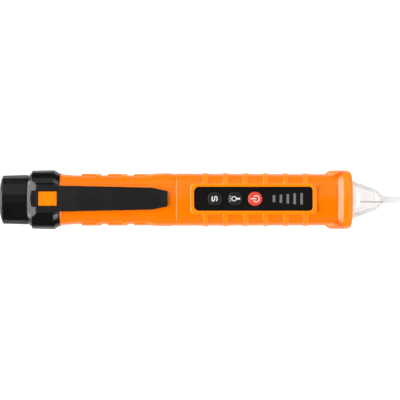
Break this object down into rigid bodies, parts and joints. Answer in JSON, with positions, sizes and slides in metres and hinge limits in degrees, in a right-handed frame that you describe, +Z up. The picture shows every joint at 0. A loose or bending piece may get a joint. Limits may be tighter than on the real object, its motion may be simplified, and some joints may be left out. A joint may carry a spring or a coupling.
{
  "type": "non contact voltage tester",
  "caption": "Pen shaped non contact voltage tester with a clear probe tip, a raised control panel, push buttons, a pocket clip and a faceted screw cap.",
  "frame": {"origin": "middle of the pen's length, on the plane of the two resting flats under the collar and the nose ring", "axes": "+X along the pen from the tail cap to the probe tip, +Z up through the control panel and the clip, +Y to the left seen from the tail"},
  "size_m": [0.16, 0.0238, 0.0238],
  "materials": {
    "orange_shell": "satin moulded plastic",
    "black_shell": "semi gloss moulded plastic",
    "clip_black": "fine matt moulded plastic",
    "panel_black": "smooth gloss plastic",
    "button_black": "satin plastic",
    "button_red": "satin plastic",
    "symbol_white": "white print",
    "light_guide": "smoked translucent plastic",
    "clear_tip": "clear polycarbonate",
    "lamp_clear": "clear lamp",
    "lamp_red": "red lamp",
    "white_plastic": "moulded plastic",
    "black_rubber": "soft seal",
    "nickel_contact": "nickel plated strip",
    "spring_steel": "plated wire",
    "steel_screw": "zinc plated",
    "circuit_board": "solder mask",
    "switch_black": "moulded plastic",
    "ceramic_parts": "fired ceramic",
    "cell_jacket": "printed metal jacket"
  },
  "bodies": {
    "tester": {"rear_barrel": "orange_shell", "front_housing": "orange_shell", "nose_ring": "orange_shell", "probe_tip": "clear_tip", "nose_gasket": "black_rubber", "led_mount": "white_plastic", "flashlight_led": "lamp_clear", "signal_led": "lamp_red", "sense_antenna": "nickel_contact", "control_panel": "panel_black", "level_light_guide": "light_guide", "main_board": "circuit_board", "board_screws": "steel_screw", "tact_switches": "switch_black", "level_leds": "lamp_clear", "control_chip": "switch_black", "small_components": "ceramic_parts", "buzzer": "switch_black", "battery_cradle": "white_plastic", "rear_battery_cell": "cell_jacket", "front_battery_cell": "cell_jacket", "positive_contact": "nickel_contact", "negative_strip": "nickel_contact", "barrel_o_ring": "black_rubber", "cap_o_ring": "black_rubber", "clip_collar": "black_shell", "clip_root": "clip_black"},
    "clip_arm": {"clip_arm": "clip_black"},
    "cap_contact": {"cap_contact_plate": "nickel_contact", "tail_spring": "spring_steel"},
    "tail_cap": {"tail_cap": "black_shell"},
    "sensitivity_button": {"sensitivity_button": "button_black", "sensitivity_symbol": "symbol_white", "sensitivity_switch_plunger": "switch_black"},
    "flashlight_button": {"flashlight_button": "button_black", "flashlight_symbol": "symbol_white", "flashlight_switch_plunger": "switch_black"},
    "power_button": {"power_button": "button_red", "power_symbol": "symbol_white", "power_switch_plunger": "switch_black"}
  },
  "joints": [
    {"name": "clip_flex", "type": "hinge", "parent": "tester", "child": "clip_arm", "pos_m": [-0.0558, 0, 0.0233], "axis": [0, -1, 0], "range_deg": [0, 4], "stiffness_Nm_per_rad": 1.5},
    {"name": "cap_travel", "type": "slide", "parent": "tester", "child": "cap_contact", "axis": [-1, 0, 0], "range_m": [0, 0.01]},
    {"name": "cap_turn", "type": "hinge", "parent": "cap_contact", "child": "tail_cap", "pos_m": [-0.0725, 0, 0.011], "axis": [-1, 0, 0], "range_deg": [0, 1440]},
    {"name": "sensitivity_press", "type": "slide", "parent": "tester", "child": "sensitivity_button", "axis": [0, 0, -1], "range_m": [0, 0.0005], "stiffness_N_per_m": 1500},
    {"name": "flashlight_press", "type": "slide", "parent": "tester", "child": "flashlight_button", "axis": [0, 0, -1], "range_m": [0, 0.0005], "stiffness_N_per_m": 1500},
    {"name": "power_press", "type": "slide", "parent": "tester", "child": "power_button", "axis": [0, 0, -1], "range_m": [0, 0.0005], "stiffness_N_per_m": 1500}
  ],
  "couplings": [
    {"joint": "cap_travel", "follows": "cap_turn", "m_per_rad": 0.00039788}
  ]
}
